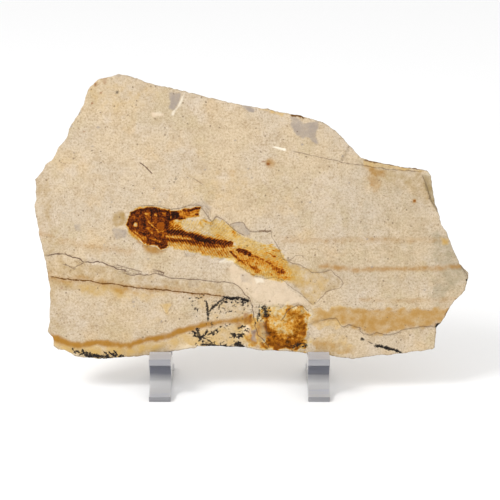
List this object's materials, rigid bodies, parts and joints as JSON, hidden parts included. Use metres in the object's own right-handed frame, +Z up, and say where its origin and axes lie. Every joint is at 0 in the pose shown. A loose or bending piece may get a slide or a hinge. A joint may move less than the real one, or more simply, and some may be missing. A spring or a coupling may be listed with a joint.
{
  "type": "fossil fish slab on a stand",
  "caption": "Thin broken slab of fine-grained stone with a fossil fish on its face, leaning back in clear slotted feet for display.",
  "frame": {"origin": "on the floor, under the middle of the whole object's box", "axes": "+Z up, +X along the slab's width to the viewer's right; the slab's fossil face looks towards -Y and leans back towards +Y"},
  "size_m": [0.191, 0.0456, 0.1383],
  "materials": {
    "stone": "matte",
    "fossil_bone": "satin",
    "clear_acrylic": "gloss"
  },
  "bodies": {
    "root": {"stone_slab": "stone", "fossil_fish": "fossil_bone", "stand_foot_left": "clear_acrylic", "stand_foot_right": "clear_acrylic"}
  },
  "joints": []
}
